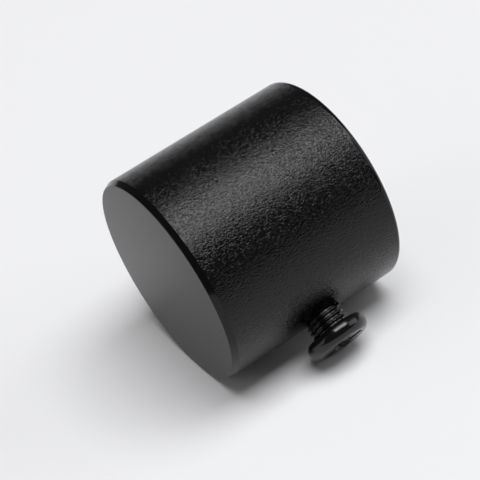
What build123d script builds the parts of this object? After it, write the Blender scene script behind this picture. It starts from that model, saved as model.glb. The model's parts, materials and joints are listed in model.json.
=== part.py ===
from build123d import *
import math
import os

# Curtain rod end cap: a turned metal cup that slips over the end of a rod, with one radial clamp screw.
# Millimetres. +X runs along the bore and out of its mouth, +Z is up.
# The origin is the centre of the bore's floor, where the end of the rod comes to rest.
# The cap lies on its side, on the wall of the cup and the bulged side of the screw's head.

# Rod and cup
rod_diameter = 19.0
rod_clearance = 0.2        # radial gap between rod and bore
bore_depth = 18.0
wall_thickness = 1.3
end_thickness = 2.0
mouth_chamfer = 0.3        # lead-in on the inner edge of the mouth
mouth_round = 0.5          # radius on the outer edge of the mouth
end_round_length = 0.7     # rounded edge of the closed end, measured along the wall
end_round_drop = 0.33      # the same edge, measured across the end face

# Clamp screw
screw_from_floor = 8.6     # from the bore's floor to the screw's axis
thread_diameter = 4.0
thread_clearance = 0.05    # radial gap between the thread's crests and the hole
screw_standoff = 1.8       # from the wall to the underside of the head, with the screw backed out
tip_setback = 0.15         # the tip stops this far short of the bore
tip_chamfer = 0.3
head_diameter = 6.5
head_height = 1.6
head_widest = 0.7          # from the head's underside to the widest part of its bulged side
land_inset = 0.57          # the edge of the head's top lies this far inside its widest part
underside_inset = 0.29     # the same for the edge of its underside

# Cross recess in the head
land_width = 0.46          # left between the end of an arm and the edge of the head's top
recess_root = 1.1          # from the centre to the end of an arm, at the bottom of the recess
recess_depth = 1.1
arm_width = 0.95
core_radius = 1.15         # round core of the recess, at the top of the head
core_root = 0.7            # the same at the bottom of the recess
recess_turn = 30.0         # arms turned this far from the cap's axis

# Sizes that follow from those above
bore_radius = rod_diameter / 2 + rod_clearance
outer_radius = bore_radius + wall_thickness
hole_radius = thread_diameter / 2 + thread_clearance
head_radius = head_diameter / 2
head_underside = outer_radius + screw_standoff
head_top = head_underside + head_height
rim_level = head_underside + head_widest
land_radius = head_radius - land_inset
recess_reach = land_radius - land_width
tip_level = bore_radius + tip_setback


def rest_angle():
    """Angle of the screw below the horizontal at which the wall and the head's side stand on one level."""
    side_radius = (land_inset ** 2 + (head_top - rim_level) ** 2) / (2 * land_inset)
    side_centre = head_radius - side_radius
    reach = math.hypot(rim_level, side_centre)
    return math.asin((outer_radius - side_radius) / reach) - math.atan2(side_centre, rim_level)


def screw_plane():
    """Plane on the cap's axis whose normal is the screw's axis, pointing out of the wall."""
    angle = rest_angle()
    outward = (0, -math.cos(angle), -math.sin(angle))
    return Plane(origin=(screw_from_floor, 0, 0), x_dir=(1, 0, 0), z_dir=outward)


def make_cap():
    """The cup: one turned section, with the screw hole drilled through one side of its wall."""
    closed_end = -end_thickness
    mouth = bore_depth
    face_radius = outer_radius - end_round_drop
    wall_start = (closed_end + end_round_length, outer_radius)
    wall_end = (mouth - mouth_round, outer_radius)
    rim_outer = (mouth, outer_radius - mouth_round)

    outline = Line((closed_end, 0), (closed_end, face_radius))
    outline += TangentArc(wall_start, (closed_end, face_radius), tangent=(-1, 0))
    outline += Line(wall_start, wall_end)
    outline += TangentArc(wall_end, rim_outer, tangent=(1, 0))
    outline += Polyline(
        rim_outer,
        (mouth, bore_radius + mouth_chamfer),
        (mouth - mouth_chamfer, bore_radius),
        (0, bore_radius),
        (0, 0),
        (closed_end, 0),
    )
    cup = revolve(make_face(outline), Axis.X)

    hole = Cylinder(hole_radius, 2 * outer_radius, align=(Align.CENTER, Align.CENTER, Align.MIN))
    return cup - screw_plane() * hole


def make_recess():
    """Cross recess: four tapering arms round a tapering core, cut down from the top of the head."""
    hang = (Align.CENTER, Align.CENTER, Align.MAX)
    taper = Cone(recess_root, recess_reach, recess_depth, align=hang)
    arm = Box(2 * recess_reach, arm_width, recess_depth, align=hang)
    core = Cone(core_root, core_radius, recess_depth, align=hang)
    cross = taper & (arm + Rot(0, 0, 90) * arm)
    return Pos(0, 0, head_top) * Rot(0, 0, recess_turn) * (cross + core)


def make_screw():
    """Pan-head screw, turned about its axis and placed in the cap's wall at its backed-out rest."""
    thread_radius = thread_diameter / 2
    rim = (head_radius, rim_level)
    underside_edge = (head_radius - underside_inset, head_underside)
    land_edge = (land_radius, head_top)

    outline = Polyline(
        (0, tip_level),
        (thread_radius - tip_chamfer, tip_level),
        (thread_radius, tip_level + tip_chamfer),
        (thread_radius, head_underside),
        underside_edge,
    )
    outline += TangentArc(rim, underside_edge, tangent=(0, -1))
    outline += TangentArc(rim, land_edge, tangent=(0, 1))
    outline += Polyline(land_edge, (0, head_top), (0, tip_level))
    blank = revolve(Plane.XZ * make_face(outline), Axis.Z)
    return screw_plane() * (blank - make_recess())


os.makedirs("parts", exist_ok=True)
export_step(make_cap(), "parts/cap_body.step")
export_step(make_screw(), "parts/clamp_screw.step")
print("screw below the horizontal, degrees:", round(math.degrees(rest_angle()), 2))
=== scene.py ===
"""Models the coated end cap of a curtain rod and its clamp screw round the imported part, on a plain stage."""

import json
import math

import bmesh
import bpy
from bpy.props import FloatProperty, FloatVectorProperty, IntProperty, PointerProperty
from mathutils import Matrix, Vector


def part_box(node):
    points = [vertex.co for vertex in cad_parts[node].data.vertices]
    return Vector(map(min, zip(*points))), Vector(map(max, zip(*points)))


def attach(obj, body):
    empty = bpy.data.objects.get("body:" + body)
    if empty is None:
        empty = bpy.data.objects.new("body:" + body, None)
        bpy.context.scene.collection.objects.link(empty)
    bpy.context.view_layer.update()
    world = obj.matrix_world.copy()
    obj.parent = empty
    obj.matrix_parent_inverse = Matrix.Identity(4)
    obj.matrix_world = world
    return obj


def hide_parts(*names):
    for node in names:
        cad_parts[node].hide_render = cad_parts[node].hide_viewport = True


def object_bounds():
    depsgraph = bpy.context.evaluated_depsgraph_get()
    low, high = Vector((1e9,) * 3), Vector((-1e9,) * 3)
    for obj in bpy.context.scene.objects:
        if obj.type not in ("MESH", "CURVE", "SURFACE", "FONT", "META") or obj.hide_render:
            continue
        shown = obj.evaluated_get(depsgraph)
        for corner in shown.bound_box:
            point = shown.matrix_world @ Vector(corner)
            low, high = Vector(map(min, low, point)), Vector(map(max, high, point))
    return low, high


bl_info = {
    "name": "Rod End Cap",
    "version": (1, 0, 0),
    "blender": (4, 5, 0),
    "location": "3D View > Sidebar > Rod Cap",
    "description": "Models a coated curtain rod end cap, its clamp screw and a plain stage",
    "category": "Object",
}

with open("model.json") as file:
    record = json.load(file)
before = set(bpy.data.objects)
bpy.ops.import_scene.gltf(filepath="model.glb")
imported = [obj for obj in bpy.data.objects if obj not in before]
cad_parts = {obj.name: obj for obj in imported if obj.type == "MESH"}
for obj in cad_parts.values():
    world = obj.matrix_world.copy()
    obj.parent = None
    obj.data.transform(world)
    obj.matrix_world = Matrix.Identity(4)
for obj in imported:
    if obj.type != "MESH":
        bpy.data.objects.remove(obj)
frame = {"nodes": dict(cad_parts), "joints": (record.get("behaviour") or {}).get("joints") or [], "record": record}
CAD_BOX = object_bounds()

# Distances in metres: one millimetre, points that merge, and points that count as near
MM = 0.001
MERGE = 1e-7
NEAR = 10 * MERGE

# A full turn, and the angles between two faces past which their edge is sharp, or the recess's rim
FULL_TURN = 2 * math.pi
SHARP_ANGLE = math.radians(30)
RIM_ANGLE = math.radians(20)

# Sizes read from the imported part
CAP_LOW, CAP_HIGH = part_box("cap_body")
SCREW_LOW, SCREW_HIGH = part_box("clamp_screw")
SCREW_AXIS = Vector(frame["joints"][0]["axis"]).normalized()
SCREW_X = (SCREW_LOW.x + SCREW_HIGH.x) / 2
HEAD_RADIUS = (SCREW_HIGH.x - SCREW_LOW.x) / 2
BORE_RADIUS = frame["record"]["mounts"][0]["dims"]["r_mm"] * MM
CAP_RADIUS = CAP_HIGH.y


def screw_levels(inner_radius):
    """Distances from the cap's axis, along the screw, of the part's screw points outside a radius."""
    levels = []
    for vertex in frame["nodes"]["clamp_screw"].data.vertices:
        offset = vertex.co - Vector((SCREW_X, 0, 0))
        level = offset.dot(SCREW_AXIS)
        if (offset - level * SCREW_AXIS).length >= inner_radius:
            levels.append(level)
    return levels


# Outside this radius, all the screw's points are the head's
HEAD_ONLY = 0.8 * HEAD_RADIUS
TIP_LEVEL = min(screw_levels(0))
HEAD_TOP = max(screw_levels(0))
HEAD_UNDERSIDE = min(screw_levels(HEAD_ONLY))

# Steps in the arcs of the cup's section and the head's, and faces round the hole and the floor
FACE_EASE_STEPS = 6
WALL_EASE_STEPS = 4
MOUTH_STEPS = 8
BORE_FLOOR_STEPS = 6
HEAD_LOWER_STEPS = 10
HEAD_UPPER_STEPS = 12
RECESS_EASE_STEPS = 2
ROUND_FACETS = 96

# How far the cutters run past what they cut, how many times as large as the recess its bars are,
# and turns of thread that are cut off below the tip
HOLE_OVERRUN = 2 * MM
RECESS_OVERRUN = 0.2 * MM
BAR_SPARE = 2
SPARE_TURNS = 2

# Width of the ring that joins the thread to the head's underside
NECK_RING = 0.25 * MM

# Grain: its wrinkles, and the slow drift that goes with them
GRAIN_DETAIL = 0.0
GRAIN_WARP = 0.8
GRAIN_MIDDLE = 0.5
DRIFT_SCALE = 0.5
DRIFT_DETAIL = 1.0
DRIFT_LOW, DRIFT_HIGH = 0.3, 0.7
ROUGHNESS_DRIFT = 0.1

# Lengths along the cap over which its finish changes
END_FADE = 0.05 * MM
MOUTH_FADE = 0.1 * MM
FACE_GRAIN_FADE = 0.05 * MM
FACE_GLOSS_FADE = 0.1 * MM


class CapShape(bpy.types.PropertyGroup):
    """Edges of the turned cup."""
    end_slope_length: FloatProperty(
        name="End slope length", description="Sloped edge of the closed end, along the wall",
        default=0.58 * MM, unit="LENGTH", precision=5)
    end_slope_drop: FloatProperty(
        name="End slope drop", description="Sloped edge of the closed end, across the face",
        default=0.33 * MM, unit="LENGTH", precision=5)
    end_ease: FloatProperty(
        name="End ease", description="Radius on both sides of the sloped edge",
        default=0.12 * MM, unit="LENGTH", precision=5)
    mouth_round: FloatProperty(
        name="Mouth round", description="Radius on the outer edge of the mouth",
        default=0.5 * MM, unit="LENGTH", precision=5)
    mouth_chamfer: FloatProperty(
        name="Mouth chamfer", description="Lead-in on the inner edge of the mouth",
        default=0.3 * MM, unit="LENGTH", precision=5)
    floor_round: FloatProperty(
        name="Floor round", description="Radius left by the tool where the bore meets its floor",
        default=0.4 * MM, unit="LENGTH", precision=5)
    hole_radius: FloatProperty(
        name="Hole radius", description="Radius of the screw hole in the wall",
        default=2.05 * MM, unit="LENGTH", precision=5)
    facets: IntProperty(
        name="Facets", description="Faces round the cup", default=240, min=24)


class ScrewShape(bpy.types.PropertyGroup):
    """Thread, head and recess of the clamp screw."""
    thread_radius: FloatProperty(
        name="Thread radius", description="Radius over the thread's crests",
        default=2.0 * MM, unit="LENGTH", precision=5)
    thread_pitch: FloatProperty(
        name="Thread pitch", description="Advance of the thread in one turn",
        default=0.5 * MM, unit="LENGTH", precision=5)
    thread_depth: FloatProperty(
        name="Thread depth", description="Depth of the thread from crest to root",
        default=0.29 * MM, unit="LENGTH", precision=5)
    tip_chamfer: FloatProperty(
        name="Tip chamfer", description="Chamfer at the screw's tip",
        default=0.3 * MM, unit="LENGTH", precision=5)
    head_widest: FloatProperty(
        name="Head widest", description="From the head's underside to the widest part of its bulged side",
        default=0.7 * MM, unit="LENGTH", precision=5)
    land_inset: FloatProperty(
        name="Land inset", description="From the head's widest part in to the edge of its top",
        default=0.57 * MM, unit="LENGTH", precision=5)
    underside_inset: FloatProperty(
        name="Underside inset", description="From the head's widest part in to the edge of its underside",
        default=0.29 * MM, unit="LENGTH", precision=5)
    recess_reach: FloatProperty(
        name="Recess reach", description="From the centre to the end of a recess arm, at the top",
        default=2.22 * MM, unit="LENGTH", precision=5)
    recess_root: FloatProperty(
        name="Recess root", description="From the centre to the end of a recess arm, at the bottom",
        default=1.1 * MM, unit="LENGTH", precision=5)
    recess_depth: FloatProperty(
        name="Recess depth", description="Depth of the cross recess",
        default=1.1 * MM, unit="LENGTH", precision=5)
    arm_width: FloatProperty(
        name="Arm width", description="Width of a recess arm",
        default=0.95 * MM, unit="LENGTH", precision=5)
    core_radius: FloatProperty(
        name="Core radius", description="Round core of the recess, at the top",
        default=1.15 * MM, unit="LENGTH", precision=5)
    core_root: FloatProperty(
        name="Core root", description="Round core of the recess, at the bottom",
        default=0.7 * MM, unit="LENGTH", precision=5)
    recess_turn: FloatProperty(
        name="Recess turn", description="Turn of the recess arms from the cap's axis",
        default=math.radians(30), subtype="ANGLE")
    recess_ease: FloatProperty(
        name="Recess ease", description="Eased edge round the recess",
        default=0.04 * MM, unit="LENGTH", precision=5)
    facets: IntProperty(
        name="Facets", description="Faces round the screw", default=96, min=24)


class CoatFinish(bpy.types.PropertyGroup):
    """Black textured coating on the cup."""
    colour: FloatVectorProperty(
        name="Colour", description="Colour of the coating", subtype="COLOR",
        default=(0.0022, 0.0023, 0.0025), min=0, max=1)
    roughness: FloatProperty(
        name="Wall roughness", description="Roughness of the coating on the wall",
        default=0.13, min=0, max=1, subtype="FACTOR")
    face_roughness: FloatProperty(
        name="Face roughness", description="Roughness of the coating on the closed end",
        default=0.3, min=0, max=1, subtype="FACTOR")
    gloss: FloatProperty(
        name="Gloss", description="Strength of the coating's reflections",
        default=0.29, min=0, max=1, subtype="FACTOR")
    grain_size: FloatProperty(
        name="Grain size", description="Width of one wrinkle of the coating",
        default=0.13 * MM, unit="LENGTH", precision=5)
    grain_stretch: FloatProperty(
        name="Grain stretch", description="Length of a wrinkle along the cap for its width", default=1.7)
    grain_depth: FloatProperty(
        name="Grain depth", description="Depth of the coating's wrinkles",
        default=0.045 * MM, unit="LENGTH", precision=6)
    face_grain: FloatProperty(
        name="Face grain", description="Depth of the grain on the closed end, as a part of the wall's",
        default=0.35, min=0, max=1, subtype="FACTOR")


class ScrewFinish(bpy.types.PropertyGroup):
    """Black plating on the screw."""
    colour: FloatVectorProperty(
        name="Colour", description="Colour of the plating", subtype="COLOR",
        default=(0.003, 0.003, 0.003), min=0, max=1)
    roughness: FloatProperty(
        name="Roughness", description="Roughness of the plating",
        default=0.14, min=0, max=1, subtype="FACTOR")
    gloss: FloatProperty(
        name="Gloss", description="Strength of the plating's reflections",
        default=0.45, min=0, max=1, subtype="FACTOR")
    grain_size: FloatProperty(
        name="Grain size", description="Width of one mark in the plating",
        default=0.35 * MM, unit="LENGTH", precision=5)
    grain_depth: FloatProperty(
        name="Grain depth", description="Depth of the marks in the plating",
        default=0.004 * MM, unit="LENGTH", precision=6)


class StageSetup(bpy.types.PropertyGroup):
    """Floor, lights and camera."""
    floor_colour: FloatVectorProperty(
        name="Floor colour", description="Colour of the floor", subtype="COLOR",
        default=(0.855, 0.863, 0.885), min=0, max=1)
    floor_roughness: FloatProperty(
        name="Floor roughness", description="Roughness of the floor",
        default=0.8, min=0, max=1, subtype="FACTOR")
    floor_gloss: FloatProperty(
        name="Floor gloss", description="Strength of the floor's reflections",
        default=0.1, min=0, max=1, subtype="FACTOR")
    floor_radius: FloatProperty(
        name="Floor radius", description="Radius of the floor", default=12.0, unit="LENGTH")
    surround: FloatVectorProperty(
        name="Surround", description="Light of the room round the stage", subtype="COLOR",
        default=(0.09, 0.082, 0.078), min=0, max=1)
    key_direction: FloatVectorProperty(
        name="Key direction", description="From the cap towards the key light", subtype="DIRECTION",
        default=(0.164, -0.213, 0.963))
    key_width: FloatProperty(
        name="Key width", description="Size of the key light along the cap",
        default=2.2, unit="LENGTH")
    key_length: FloatProperty(
        name="Key length", description="Size of the key light across the cap",
        default=1.4, unit="LENGTH")
    key_radiance: FloatProperty(
        name="Key radiance", description="Brightness of the key light's surface", default=6.5)
    fill_direction: FloatVectorProperty(
        name="Fill direction", description="From the cap towards the fill light", subtype="DIRECTION",
        default=(-0.93, 0.25, 0.27))
    fill_width: FloatProperty(
        name="Fill width", description="Width of the fill light", default=2.3, unit="LENGTH")
    fill_radiance: FloatProperty(
        name="Fill radiance", description="Brightness of the fill light's surface", default=0.75)
    side_direction: FloatVectorProperty(
        name="Side direction", description="From the cap towards the side light", subtype="DIRECTION",
        default=(0.86, -0.32, 0.4))
    side_width: FloatProperty(
        name="Side width", description="Width of the side light", default=1.75, unit="LENGTH")
    side_radiance: FloatProperty(
        name="Side radiance", description="Brightness of the side light's surface", default=1.4)
    light_distance: FloatProperty(
        name="Light distance", description="Distance of the lights from the cap",
        default=2.5, unit="LENGTH")
    azimuth: FloatProperty(
        name="Azimuth", description="Turn of the camera round the cap",
        default=math.radians(-22.6992), subtype="ANGLE")
    elevation: FloatProperty(
        name="Elevation", description="Height of the camera over the cap, as an angle",
        default=math.radians(36.8942), subtype="ANGLE")
    roll: FloatProperty(
        name="Roll", description="Turn of the camera about its own line of sight",
        default=math.radians(-18.5024), subtype="ANGLE")
    distance: FloatProperty(
        name="Distance", description="Distance of the camera from its target",
        default=149.22 * MM, unit="LENGTH", precision=5)
    target: FloatVectorProperty(
        name="Target", description="Point that the camera looks at", subtype="TRANSLATION",
        default=(6.7007 * MM, 0.0081 * MM, -0.4615 * MM))
    lens: FloatProperty(
        name="Lens", description="Focal length of the camera in millimetres", default=115.15)
    nearest: FloatProperty(
        name="Nearest", description="The camera sees nothing nearer than this",
        default=10 * MM, unit="LENGTH")


# Sections and sweeps

def straight(bm, start, x, z):
    """Runs a section straight on from its last vertex to a new one, and returns that."""
    end = bmesh.ops.extrude_vert_indiv(bm, verts=[start])["verts"][0]
    end.co = (x, 0, z)
    return end


def rounded(bm, start, x, z, angle, steps):
    """Runs a section on round an arc about a centre, and returns its last vertex."""
    arc = bmesh.ops.spin(
        bm, geom=[start], cent=(x, 0, z), axis=(0, 1, 0), angle=angle, steps=steps, use_duplicate=False)
    return [item for item in arc["geom_last"] if isinstance(item, bmesh.types.BMVert)][0]


def bulge(inset, height):
    """Radius and angle of an arc that sets out upright and moves in by an inset over a height."""
    radius = (inset ** 2 + height ** 2) / (2 * inset)
    return radius, math.asin(height / radius)


def turn(bm, axis, facets):
    """Turns the section in a bmesh once round an axis and closes the seam and the poles."""
    section = bm.verts[:] + bm.edges[:]
    bmesh.ops.spin(
        bm, geom=section, cent=(0, 0, 0), axis=axis, angle=FULL_TURN, steps=facets,
        use_merge=True, use_duplicate=False)
    bmesh.ops.remove_doubles(bm, verts=bm.verts, dist=MERGE)
    bmesh.ops.dissolve_degenerate(bm, edges=bm.edges, dist=MERGE)


def lies_on(edge, level):
    """Whether an edge lies on one level of z."""
    return all(abs(vertex.co.z - level) < NEAR for vertex in edge.verts)


def open_edges(bm, level):
    """Open edges of a bmesh that lie on one level of z."""
    return [edge for edge in bm.edges if edge.is_boundary and lies_on(edge, level)]


def piece_from(bm, name):
    """Makes a bmesh into an object in the scene."""
    bmesh.ops.recalc_face_normals(bm, faces=bm.faces)
    mesh = bpy.data.meshes.new(name)
    bm.to_mesh(mesh)
    bm.free()
    piece = bpy.data.objects.new(name, mesh)
    bpy.context.scene.collection.objects.link(piece)
    return piece


def combine(piece, tool, operation):
    """Cuts, joins or keeps a piece by another one, which is used up."""
    boolean = piece.modifiers.new("combine", "BOOLEAN")
    boolean.operation = operation
    boolean.solver = "EXACT"
    boolean.object = tool
    depsgraph = bpy.context.evaluated_depsgraph_get()
    old_mesh = piece.data
    piece.data = bpy.data.meshes.new_from_object(piece.evaluated_get(depsgraph))
    piece.data.name = piece.name
    piece.modifiers.clear()
    bpy.data.meshes.remove(old_mesh)
    tool_mesh = tool.data
    bpy.data.objects.remove(tool)
    bpy.data.meshes.remove(tool_mesh)


def settle(piece, material):
    """Checks that a finished piece is closed, and gives it its material and smooth shading."""
    bm = bmesh.new()
    bm.from_mesh(piece.data)
    bmesh.ops.remove_doubles(bm, verts=bm.verts, dist=MERGE)
    torn = [edge for edge in bm.edges if not edge.is_manifold]
    bm.to_mesh(piece.data)
    bm.free()
    if torn:
        raise RuntimeError(f"{piece.name} has {len(torn)} edges that aren't closed")
    piece.data.materials.clear()
    piece.data.materials.append(material)
    piece.data.shade_smooth()
    piece.data.set_sharp_from_angle(angle=SHARP_ANGLE)


# Shared nodes

def add_node(tree, kind, x, y, **settings):
    """Adds a node to a tree at a place, with its settings."""
    node = tree.nodes.new(kind)
    node.location = (x, y)
    for name, value in settings.items():
        setattr(node, name, value)
    return node


def grain_group():
    """Node group of fine wrinkles: their height, and a slow drift over the surface."""
    name = "Fine grain"
    if name in bpy.data.node_groups:
        return bpy.data.node_groups[name]
    group = bpy.data.node_groups.new(name, "ShaderNodeTree")
    group.interface.new_socket("Vector", in_out="INPUT", socket_type="NodeSocketVector")
    group.interface.new_socket("Scale", in_out="INPUT", socket_type="NodeSocketFloat")
    group.interface.new_socket("Height", in_out="OUTPUT", socket_type="NodeSocketFloat")
    group.interface.new_socket("Drift", in_out="OUTPUT", socket_type="NodeSocketFloat")
    source = add_node(group, "NodeGroupInput", -800, 0)
    wrinkles = add_node(group, "ShaderNodeTexNoise", -400, 200)
    wrinkles.inputs["Detail"].default_value = GRAIN_DETAIL
    wrinkles.inputs["Distortion"].default_value = GRAIN_WARP
    slow = add_node(group, "ShaderNodeMath", -600, -200, operation="MULTIPLY")
    slow.inputs[1].default_value = DRIFT_SCALE
    drift = add_node(group, "ShaderNodeTexNoise", -400, -200)
    drift.inputs["Detail"].default_value = DRIFT_DETAIL
    centred = add_node(group, "ShaderNodeMath", -200, 200, operation="SUBTRACT")
    centred.inputs[1].default_value = GRAIN_MIDDLE
    sink = add_node(group, "NodeGroupOutput", 0, 0)
    group.links.new(source.outputs["Vector"], wrinkles.inputs["Vector"])
    group.links.new(source.outputs["Scale"], wrinkles.inputs["Scale"])
    group.links.new(source.outputs["Vector"], drift.inputs["Vector"])
    group.links.new(source.outputs["Scale"], slow.inputs[0])
    group.links.new(slow.outputs[0], drift.inputs["Scale"])
    group.links.new(wrinkles.outputs["Fac"], centred.inputs[0])
    group.links.new(centred.outputs[0], sink.inputs["Height"])
    group.links.new(drift.outputs["Fac"], sink.inputs["Drift"])
    return group


def new_material(name, colour, gloss):
    """A new material of one colour, and its shader."""
    material = bpy.data.materials.new(name)
    material.use_nodes = True
    tree = material.node_tree
    tree.nodes.clear()
    output = add_node(tree, "ShaderNodeOutputMaterial", 600, 0)
    shader = add_node(tree, "ShaderNodeBsdfPrincipled", 300, 0)
    shader.inputs["Base Color"].default_value = (*colour, 1)
    shader.inputs["Specular IOR Level"].default_value = gloss
    tree.links.new(shader.outputs["BSDF"], output.inputs["Surface"])
    return material, shader


def piece_coordinates(tree):
    """Object coordinates of the piece that wears a material."""
    return add_node(tree, "ShaderNodeTexCoord", -1200, 0).outputs["Object"]


def place_grain(tree, coordinates, size, stretch):
    """Places the grain group in a material, drawn out along the cap."""
    grain = add_node(tree, "ShaderNodeGroup", -900, 0)
    grain.node_tree = grain_group()
    grain.inputs["Scale"].default_value = 1 / size
    drawn_out = add_node(tree, "ShaderNodeMapping", -1050, -150)
    drawn_out.inputs["Scale"].default_value = (1 / stretch, 1, 1)
    tree.links.new(coordinates, drawn_out.inputs["Vector"])
    tree.links.new(drawn_out.outputs["Vector"], grain.inputs["Vector"])
    return grain


def add_relief(tree, shader, height, depth):
    """Gives a shader the relief of a height, with its full depth."""
    bump = add_node(tree, "ShaderNodeBump", 50, -200)
    bump.inputs["Strength"].default_value = 1.0
    bump.inputs["Distance"].default_value = depth
    tree.links.new(height, bump.inputs["Height"])
    tree.links.new(bump.outputs["Normal"], shader.inputs["Normal"])


def ramp_value(tree, value, x, y, low, high, start, end):
    """Carries a value from one span to another, smoothly and held at both ends."""
    ramp = add_node(tree, "ShaderNodeMapRange", x, y, interpolation_type="SMOOTHSTEP")
    ramp.inputs["From Min"].default_value = low
    ramp.inputs["From Max"].default_value = high
    ramp.inputs["To Min"].default_value = start
    ramp.inputs["To Max"].default_value = end
    tree.links.new(value, ramp.inputs["Value"])
    return ramp.outputs["Result"]


def work_out(tree, operation, first, second, x, y):
    """Sum or product of two values."""
    result = add_node(tree, "ShaderNodeMath", x, y, operation=operation)
    tree.links.new(first, result.inputs[0])
    tree.links.new(second, result.inputs[1])
    return result.outputs[0]


def coat_material(finish, shape):
    """Black wrinkle coating: grained on the wall, faintly on the closed end, and smooth along the edges."""
    material, shader = new_material("cap_coat", finish.colour, finish.gloss)
    tree = material.node_tree
    coordinates = piece_coordinates(tree)
    grain = place_grain(tree, coordinates, finish.grain_size, finish.grain_stretch)
    axes = add_node(tree, "ShaderNodeSeparateXYZ", -900, 300)
    tree.links.new(coordinates, axes.inputs[0])
    along = axes.outputs["X"]
    closed_end = CAP_LOW.x
    wall_start = closed_end + shape.end_slope_length
    wall_end = CAP_HIGH.x - shape.mouth_round
    past_end = ramp_value(tree, along, -650, 400, wall_start, wall_start + END_FADE, 0, 1)
    past_mouth = ramp_value(tree, along, -650, 150, wall_end - MOUTH_FADE, wall_end, 1, 0)
    wall = work_out(tree, "MULTIPLY", past_end, past_mouth, -400, 300)
    face = ramp_value(
        tree, along, -650, 650, closed_end, closed_end + FACE_GRAIN_FADE, finish.face_grain, 0)
    grained = work_out(tree, "ADD", wall, face, -300, 400)
    height = work_out(tree, "MULTIPLY", grained, grain.outputs["Height"], -150, 100)
    add_relief(tree, shader, height, finish.grain_depth)
    roughness = ramp_value(
        tree, along, -150, 500, closed_end, closed_end + FACE_GLOSS_FADE,
        finish.face_roughness, finish.roughness)
    tree.links.new(roughness, shader.inputs["Roughness"])
    return material


def plating_material(finish):
    """Black plating of the screw, with faint marks."""
    material, shader = new_material("screw_black", finish.colour, finish.gloss)
    tree = material.node_tree
    grain = place_grain(tree, piece_coordinates(tree), finish.grain_size, 1)
    add_relief(tree, shader, grain.outputs["Height"], finish.grain_depth)
    roughness = ramp_value(
        tree, grain.outputs["Drift"], -400, 200, DRIFT_LOW, DRIFT_HIGH,
        (1 - ROUGHNESS_DRIFT) * finish.roughness, (1 + ROUGHNESS_DRIFT) * finish.roughness)
    tree.links.new(roughness, shader.inputs["Roughness"])
    return material


def floor_material(stage):
    """Pale matte paper."""
    material, shader = new_material("pale_floor", stage.floor_colour, stage.floor_gloss)
    shader.inputs["Roughness"].default_value = stage.floor_roughness
    return material


# Pieces

def turned_cup(shape):
    """Bmesh of the cup: its section, from the closed end round to the bore's floor, turned about its axis."""
    closed_end = CAP_LOW.x
    mouth = CAP_HIGH.x
    drop = shape.end_slope_drop
    length = shape.end_slope_length
    ease = shape.end_ease
    slope = math.atan2(drop, length)
    face_turn = math.pi / 2 - slope
    face_inset = ease * math.tan(face_turn / 2)
    wall_inset = ease * math.tan(slope / 2)
    face_radius = CAP_RADIUS - drop - face_inset
    slope_end = closed_end + length
    wall_end = mouth - shape.mouth_round
    bm = bmesh.new()
    point = bm.verts.new((closed_end, 0, 0))
    point = straight(bm, point, closed_end, face_radius)
    point = rounded(bm, point, closed_end + ease, face_radius, face_turn, FACE_EASE_STEPS)
    point = straight(
        bm, point, slope_end - wall_inset * math.cos(slope), CAP_RADIUS - wall_inset * math.sin(slope))
    point = rounded(bm, point, slope_end + wall_inset, CAP_RADIUS - ease, slope, WALL_EASE_STEPS)
    point = straight(bm, point, wall_end, CAP_RADIUS)
    point = rounded(bm, point, wall_end, CAP_RADIUS - shape.mouth_round, math.pi / 2, MOUTH_STEPS)
    point = straight(bm, point, mouth, BORE_RADIUS + shape.mouth_chamfer)
    point = straight(bm, point, mouth - shape.mouth_chamfer, BORE_RADIUS)
    point = straight(bm, point, shape.floor_round, BORE_RADIUS)
    point = rounded(
        bm, point, shape.floor_round, BORE_RADIUS - shape.floor_round, -math.pi / 2, BORE_FLOOR_STEPS)
    straight(bm, point, 0, 0)
    turn(bm, (1, 0, 0), shape.facets)
    return bm


def screw_place():
    """Matrix from the screw's own frame, z along its axis and level 0 on the cap's axis, to the part's."""
    x_axis = Vector((1, 0, 0))
    y_axis = SCREW_AXIS.cross(x_axis)
    turned = Matrix((x_axis, y_axis, SCREW_AXIS)).transposed().to_4x4()
    return Matrix.Translation((SCREW_X, 0, 0)) @ turned


def hole_cutter(shape):
    """Cylinder that drills the screw hole through one side of the wall."""
    bm = bmesh.new()
    reach = CAP_RADIUS + HOLE_OVERRUN
    start = BORE_RADIUS - HOLE_OVERRUN
    bmesh.ops.create_cone(
        bm, cap_ends=True, segments=ROUND_FACETS, radius1=shape.hole_radius, radius2=shape.hole_radius,
        depth=reach - start, matrix=Matrix.Translation((0, 0, (reach + start) / 2)))
    bmesh.ops.transform(bm, matrix=screw_place(), verts=bm.verts)
    return piece_from(bm, "hole_cutter")


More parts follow.
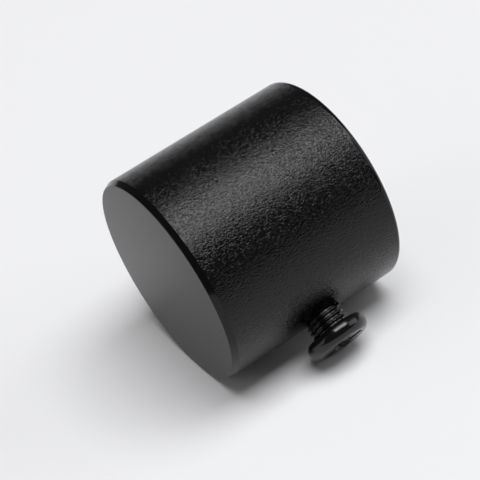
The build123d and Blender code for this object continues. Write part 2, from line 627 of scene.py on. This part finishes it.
def cut_thread(shape):
    """Bmesh of the thread: one pitch carried up a helix, cut square at the tip and under the head."""
    pitch = shape.thread_pitch
    crest = shape.thread_radius
    root = crest - shape.thread_depth
    root_flat = pitch / 4
    crest_flat = pitch / 8
    flank = (pitch - root_flat - crest_flat) / 2
    base = TIP_LEVEL - SPARE_TURNS * pitch
    turns = math.ceil((HEAD_UNDERSIDE - base) / pitch) + 1
    bm = bmesh.new()
    point = bm.verts.new((root, 0, base))
    point = straight(bm, point, root, base + root_flat)
    point = straight(bm, point, crest, base + root_flat + flank)
    point = straight(bm, point, crest, base + root_flat + flank + crest_flat)
    straight(bm, point, root, base + pitch)
    bmesh.ops.spin(
        bm, geom=bm.verts[:] + bm.edges[:], cent=(0, 0, 0), axis=(0, 0, 1), angle=turns * FULL_TURN,
        dvec=(0, 0, pitch / shape.facets), steps=turns * shape.facets, use_duplicate=False)
    bmesh.ops.remove_doubles(bm, verts=bm.verts, dist=NEAR)
    for level, side in ((TIP_LEVEL, -1), (HEAD_UNDERSIDE, 1)):
        bmesh.ops.bisect_plane(
            bm, geom=bm.verts[:] + bm.edges[:] + bm.faces[:], dist=MERGE, plane_co=(0, 0, level),
            plane_no=(0, 0, side), clear_outer=True)
    for vertex in bm.verts:
        allowed = crest - shape.tip_chamfer + vertex.co.z - TIP_LEVEL
        radius = vertex.co.xy.length
        if radius > allowed:
            vertex.co.xy *= allowed / radius
    bmesh.ops.contextual_create(bm, geom=open_edges(bm, TIP_LEVEL))
    return bm


def turned_head(shape):
    """Bmesh of the head: its section turned about the screw's axis and open below."""
    bm = bmesh.new()
    neck = shape.thread_radius + NECK_RING
    widest = HEAD_UNDERSIDE + shape.head_widest
    lower_radius, lower_angle = bulge(shape.underside_inset, shape.head_widest)
    upper_radius, upper_angle = bulge(shape.land_inset, HEAD_TOP - widest)
    point = bm.verts.new((neck, 0, HEAD_UNDERSIDE))
    point = straight(bm, point, HEAD_RADIUS - shape.underside_inset, HEAD_UNDERSIDE)
    point = rounded(bm, point, HEAD_RADIUS - lower_radius, widest, -lower_angle, HEAD_LOWER_STEPS)
    point = rounded(bm, point, HEAD_RADIUS - upper_radius, widest, -upper_angle, HEAD_UPPER_STEPS)
    straight(bm, point, 0, HEAD_TOP)
    turn(bm, (0, 0, 1), shape.facets)
    return bm


def join_thread(head, thread):
    """Takes a thread into the bmesh of a head, and closes the head's underside between them."""
    mesh = bpy.data.meshes.new("thread")
    thread.to_mesh(mesh)
    thread.free()
    head.from_mesh(mesh)
    bpy.data.meshes.remove(mesh)
    bmesh.ops.bridge_loops(head, edges=open_edges(head, HEAD_UNDERSIDE))


def recess_span(shape):
    """Height of the recess's cutters, and the matrix that lifts them from the cap's axis to their place."""
    height = shape.recess_depth + RECESS_OVERRUN
    return height, Matrix.Translation((0, 0, HEAD_TOP - shape.recess_depth + height / 2))


def recess_cone(name, root, top, shape):
    """Cone from a radius at the recess's bottom to one at the head's top, run on past it."""
    height, lift = recess_span(shape)
    reach = root + (top - root) * (height / shape.recess_depth)
    bm = bmesh.new()
    bmesh.ops.create_cone(
        bm, cap_ends=True, segments=shape.facets, radius1=root, radius2=reach, depth=height, matrix=lift)
    return piece_from(bm, name)


def recess_bar(name, angle, shape):
    """Bar as wide as a recess arm, at an angle across the head, that is longer and higher than the cones."""
    height, lift = recess_span(shape)
    length = 2 * shape.recess_reach
    size = Matrix.Diagonal((BAR_SPARE * length, shape.arm_width, BAR_SPARE * height, 1))
    bm = bmesh.new()
    bmesh.ops.create_cube(bm, size=1, matrix=lift @ Matrix.Rotation(angle, 4, "Z") @ size)
    return piece_from(bm, name)


def recess_cutter(shape):
    """Cross recess: four tapering arms round a tapering core."""
    cutter = recess_cone("recess_cutter", shape.recess_root, shape.recess_reach, shape)
    bars = recess_bar("recess_bars", shape.recess_turn, shape)
    combine(bars, recess_bar("recess_bar", shape.recess_turn + math.pi / 2, shape), "UNION")
    combine(cutter, bars, "INTERSECT")
    combine(cutter, recess_cone("recess_core", shape.core_root, shape.core_radius, shape), "UNION")
    return cutter


def ease_recess(piece, shape):
    """Bevels the edge where the recess meets the top of the head."""
    bm = bmesh.new()
    bm.from_mesh(piece.data)
    bmesh.ops.remove_doubles(bm, verts=bm.verts, dist=MERGE)
    rim = [edge for edge in bm.edges if lies_on(edge, HEAD_TOP) and edge.calc_face_angle(0) > RIM_ANGLE]
    bmesh.ops.bevel(
        bm, geom=rim, offset=shape.recess_ease, offset_type="OFFSET", affect="EDGES",
        segments=RECESS_EASE_STEPS, profile=0.5, material=-1, clamp_overlap=True)
    bm.to_mesh(piece.data)
    bm.free()


class ROD_CAP_OT_cup(bpy.types.Operator):
    """Model the coated cup with its screw hole"""
    bl_idname = "rod_cap.cup"
    bl_label = "Coated Cup"

    def execute(self, context):
        scene = context.scene
        shape = scene.rod_cap_cup
        cup = piece_from(turned_cup(shape), "rod_cap")
        combine(cup, hole_cutter(shape), "DIFFERENCE")
        settle(cup, coat_material(scene.rod_cap_coat, shape))
        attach(cup, "cap")
        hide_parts("cap_body")
        return {"FINISHED"}


class ROD_CAP_OT_screw(bpy.types.Operator):
    """Model the clamp screw with its thread and cross recess"""
    bl_idname = "rod_cap.screw"
    bl_label = "Clamp Screw"

    def execute(self, context):
        scene = context.scene
        shape = scene.rod_cap_screw
        bm = turned_head(shape)
        join_thread(bm, cut_thread(shape))
        screw = piece_from(bm, "cap_screw")
        combine(screw, recess_cutter(shape), "DIFFERENCE")
        ease_recess(screw, shape)
        screw.data.transform(screw_place())
        settle(screw, plating_material(scene.rod_cap_plating))
        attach(screw, "screw")
        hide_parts("clamp_screw")
        return {"FINISHED"}


# Stage

def pale_floor(stage):
    """Round floor on the level that the cap lies on."""
    bm = bmesh.new()
    bmesh.ops.create_circle(
        bm, cap_ends=True, segments=ROUND_FACETS, radius=stage.floor_radius,
        matrix=Matrix.Translation((0, 0, CAD_BOX[0].z)))
    floor = piece_from(bm, "floor")
    floor.data.materials.append(floor_material(stage))


def soft_light(name, direction, distance, width, length, radiance):
    """Soft light that faces the cap, with its length across the cap's axis."""
    lamp = bpy.data.lights.new(name, "AREA")
    lamp.shape = "RECTANGLE"
    lamp.size = width
    lamp.size_y = length
    lamp.energy = radiance * math.pi * width * length
    light = bpy.data.objects.new(name, lamp)
    towards = Vector(direction).normalized()
    across = towards.cross(Vector((1, 0, 0))).normalized()
    along = across.cross(towards)
    turned = Matrix((along, across, towards)).transposed().to_4x4()
    light.matrix_world = Matrix.Translation(towards * distance) @ turned
    bpy.context.scene.collection.objects.link(light)


def camera_place(stage):
    """Matrix of the camera from its angles, distance and target."""
    level = math.cos(stage.elevation)
    back = Vector((
        math.sin(stage.azimuth) * level, -math.cos(stage.azimuth) * level, math.sin(stage.elevation)))
    right = Vector((0, 0, 1)).cross(back).normalized()
    up = back.cross(right)
    turned = Matrix((right, up, back)).transposed().to_4x4()
    roll = Matrix.Rotation(stage.roll, 4, "Z")
    return Matrix.Translation(Vector(stage.target) + back * stage.distance) @ turned @ roll


class ROD_CAP_OT_stage(bpy.types.Operator):
    """Lay the floor and set up the lights, the surround and the camera"""
    bl_idname = "rod_cap.stage"
    bl_label = "Stage"

    def execute(self, context):
        scene = context.scene
        stage = scene.rod_cap_stage
        pale_floor(stage)
        soft_light(
            "key_light", stage.key_direction, stage.light_distance,
            stage.key_width, stage.key_length, stage.key_radiance)
        soft_light(
            "fill_light", stage.fill_direction, stage.light_distance,
            stage.fill_width, stage.fill_width, stage.fill_radiance)
        soft_light(
            "side_light", stage.side_direction, stage.light_distance,
            stage.side_width, stage.side_width, stage.side_radiance)
        world = bpy.data.worlds.new("surround")
        world.use_nodes = True
        world.node_tree.nodes["Background"].inputs["Color"].default_value = (*stage.surround, 1)
        scene.world = world
        lens = bpy.data.cameras.new("camera")
        lens.lens = stage.lens
        lens.clip_start = stage.nearest
        camera = bpy.data.objects.new("camera", lens)
        camera.matrix_world = camera_place(stage)
        scene.collection.objects.link(camera)
        scene.camera = camera
        scene.view_settings.view_transform = "Standard"
        return {"FINISHED"}


class ROD_CAP_PT_panel(bpy.types.Panel):
    """Sidebar panel that lists the pieces"""
    bl_idname = "ROD_CAP_PT_panel"
    bl_label = "Rod End Cap"
    bl_space_type = "VIEW_3D"
    bl_region_type = "UI"
    bl_category = "Rod Cap"

    def draw(self, context):
        layout = self.layout
        for operator, groups in PANEL_ROWS:
            layout.operator(operator.bl_idname)
            for group in groups:
                settings = getattr(context.scene, group)
                for name in settings.__annotations__:
                    layout.prop(settings, name)


OPERATORS = (ROD_CAP_OT_cup, ROD_CAP_OT_screw, ROD_CAP_OT_stage)
SETTINGS = {
    "rod_cap_cup": CapShape,
    "rod_cap_coat": CoatFinish,
    "rod_cap_screw": ScrewShape,
    "rod_cap_plating": ScrewFinish,
    "rod_cap_stage": StageSetup,
}
PANEL_ROWS = (
    (ROD_CAP_OT_cup, ("rod_cap_cup", "rod_cap_coat")),
    (ROD_CAP_OT_screw, ("rod_cap_screw", "rod_cap_plating")),
    (ROD_CAP_OT_stage, ("rod_cap_stage",)),
)


def register():
    """Registers the settings, the operators and the panel."""
    for name, group in SETTINGS.items():
        bpy.utils.register_class(group)
        setattr(bpy.types.Scene, name, PointerProperty(type=group))
    for operator in OPERATORS:
        bpy.utils.register_class(operator)
    bpy.utils.register_class(ROD_CAP_PT_panel)


def unregister():
    """Takes out what register puts in, in reverse order."""
    bpy.utils.unregister_class(ROD_CAP_PT_panel)
    for operator in reversed(OPERATORS):
        bpy.utils.unregister_class(operator)
    for name, group in reversed(SETTINGS.items()):
        delattr(bpy.types.Scene, name)
        bpy.utils.unregister_class(group)


def main():
    """Models the pieces and the stage."""
    register()
    bpy.ops.rod_cap.cup()
    bpy.ops.rod_cap.screw()
    bpy.ops.rod_cap.stage()


if __name__ == "__main__":
    main()
